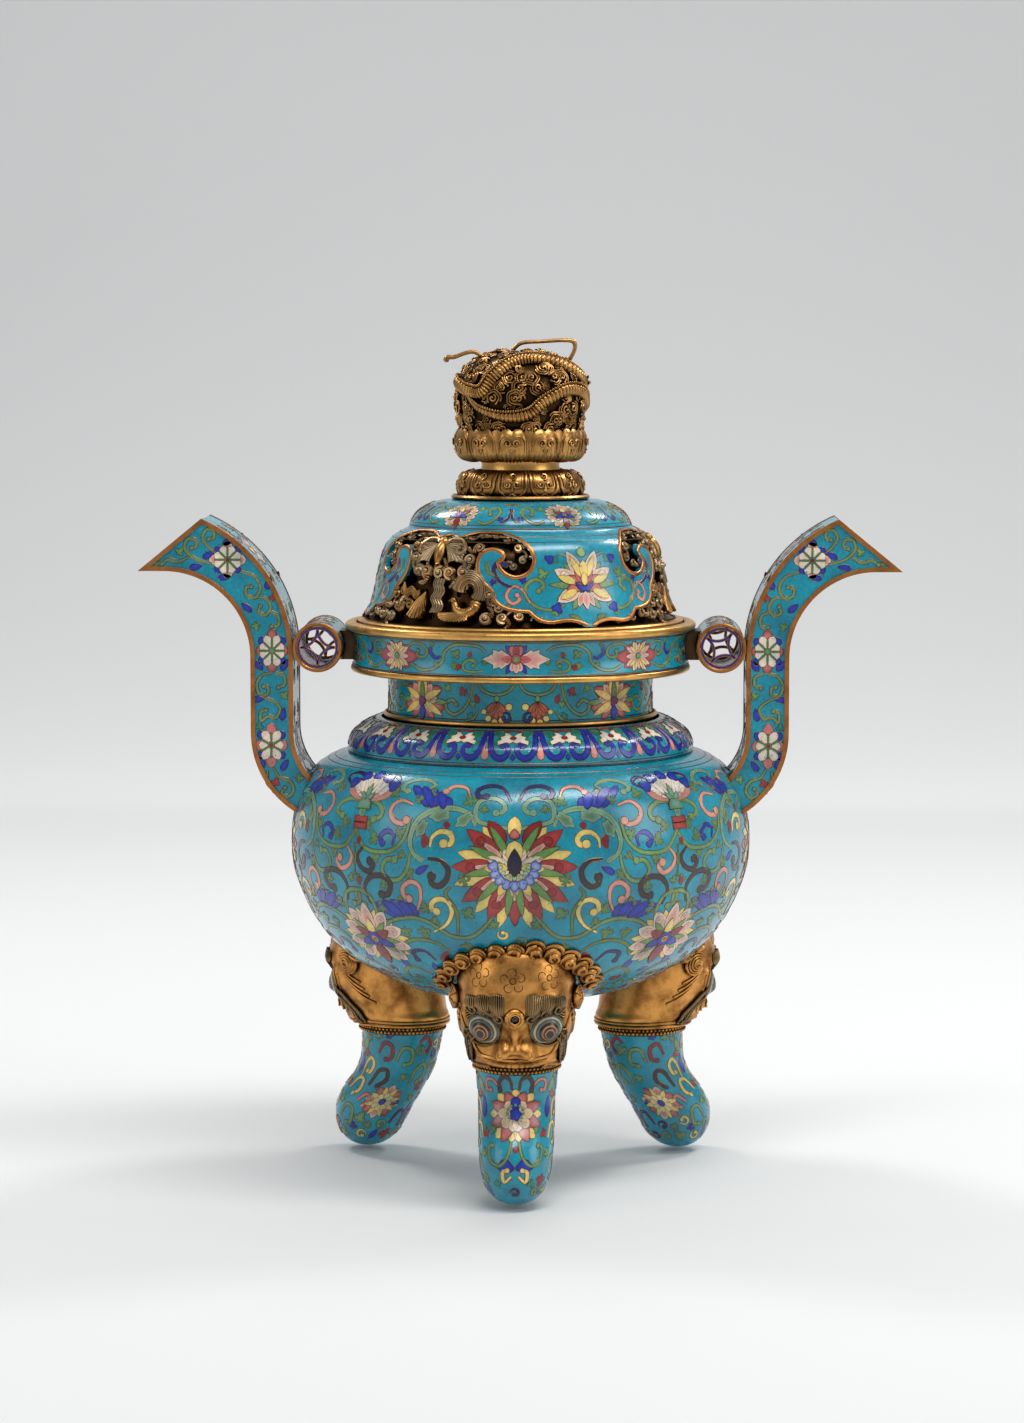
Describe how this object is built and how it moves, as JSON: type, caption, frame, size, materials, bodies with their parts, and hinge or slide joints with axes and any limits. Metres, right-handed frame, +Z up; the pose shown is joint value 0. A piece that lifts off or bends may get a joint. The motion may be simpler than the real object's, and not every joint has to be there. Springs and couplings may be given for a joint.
{
  "type": "tripod incense burner",
  "caption": "Round cloisonne incense burner on beast-mask legs, with upturned handles, a pierced lift-off cover and a fire pan inside.",
  "frame": {"origin": "on the floor under the axis of the bowl", "axes": "+Z up along the axis of the bowl, X through the two handles, -Y towards the front leg"},
  "size_m": [0.394, 0.2396, 0.4332],
  "materials": {
    "enamel": "turquoise cloisonne enamel fired between wires on a thin bronze wall",
    "gilt_bronze": "worn fire gilding over cast bronze",
    "dark_bronze": "dark bare bronze",
    "copper": "tarnished sheet copper"
  },
  "bodies": {
    "vessel": {"bowl": "enamel", "shoulder_collar": "enamel", "neck_moulding": "gilt_bronze", "neck": "enamel", "rim_floor_ring": "gilt_bronze", "rim_band": "enamel", "rim_top_ring": "gilt_bronze", "handle_right": "enamel", "handle_left": "enamel", "brace_tube_right": "enamel", "brace_tube_left": "enamel", "coin_right_front": "gilt_bronze", "coin_right_back": "gilt_bronze", "coin_left_front": "gilt_bronze", "coin_left_back": "gilt_bronze", "brace_bracket_right": "dark_bronze", "brace_bracket_left": "dark_bronze", "leg_front": "enamel", "leg_right": "enamel", "leg_left": "enamel", "leg_collar_front": "gilt_bronze", "leg_collar_right": "gilt_bronze", "leg_collar_left": "gilt_bronze", "mask_front": "gilt_bronze", "mask_right": "gilt_bronze", "mask_left": "gilt_bronze"},
    "cover": {"cover_flange": "gilt_bronze", "cover_dome": "enamel", "cover_gallery": "gilt_bronze", "finial_plate": "gilt_bronze", "finial_lotus_lower": "gilt_bronze", "finial_waist": "gilt_bronze", "finial_lotus_upper": "gilt_bronze", "finial_knob": "gilt_bronze", "finial_stud": "dark_bronze", "finial_nut": "dark_bronze"},
    "liner": {"fire_pan": "copper"}
  },
  "joints": [
    {"name": "cover_lift", "type": "slide", "parent": "vessel", "child": "cover", "axis": [0, 0, 1], "range_m": [0, 0.15]},
    {"name": "liner_lift", "type": "slide", "parent": "vessel", "child": "liner", "axis": [0, 0, 1], "range_m": [0, 0.028]}
  ]
}
